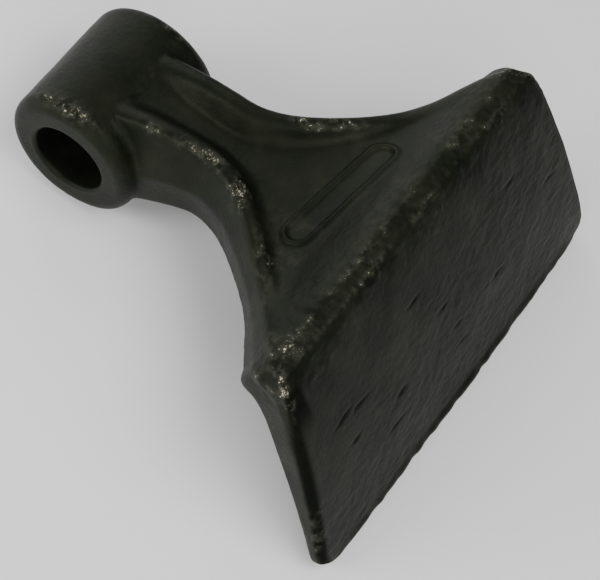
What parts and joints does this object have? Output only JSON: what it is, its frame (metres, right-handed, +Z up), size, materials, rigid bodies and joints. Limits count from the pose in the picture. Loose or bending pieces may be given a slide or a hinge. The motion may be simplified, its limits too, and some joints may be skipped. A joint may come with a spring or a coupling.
{
  "type": "hammer flail",
  "caption": "Forged steel hammer flail with a plain cross-bored eye, a ribbed flaring neck and a wide down-turned blade.",
  "frame": {"origin": "centre of the eye's bore, on the part's mirror plane", "axes": "+X along the bore, +Z up with the part lying on the eye and the cutting edge, blade towards -Y"},
  "size_m": [0.1522, 0.1585, 0.0686],
  "materials": {
    "coated_steel": "black-olive coated drop-forged steel, scale-textured, with bare metal specks on the convex crests"
  },
  "bodies": {
    "root": {"hammer_forging": "coated_steel"}
  },
  "joints": []
}
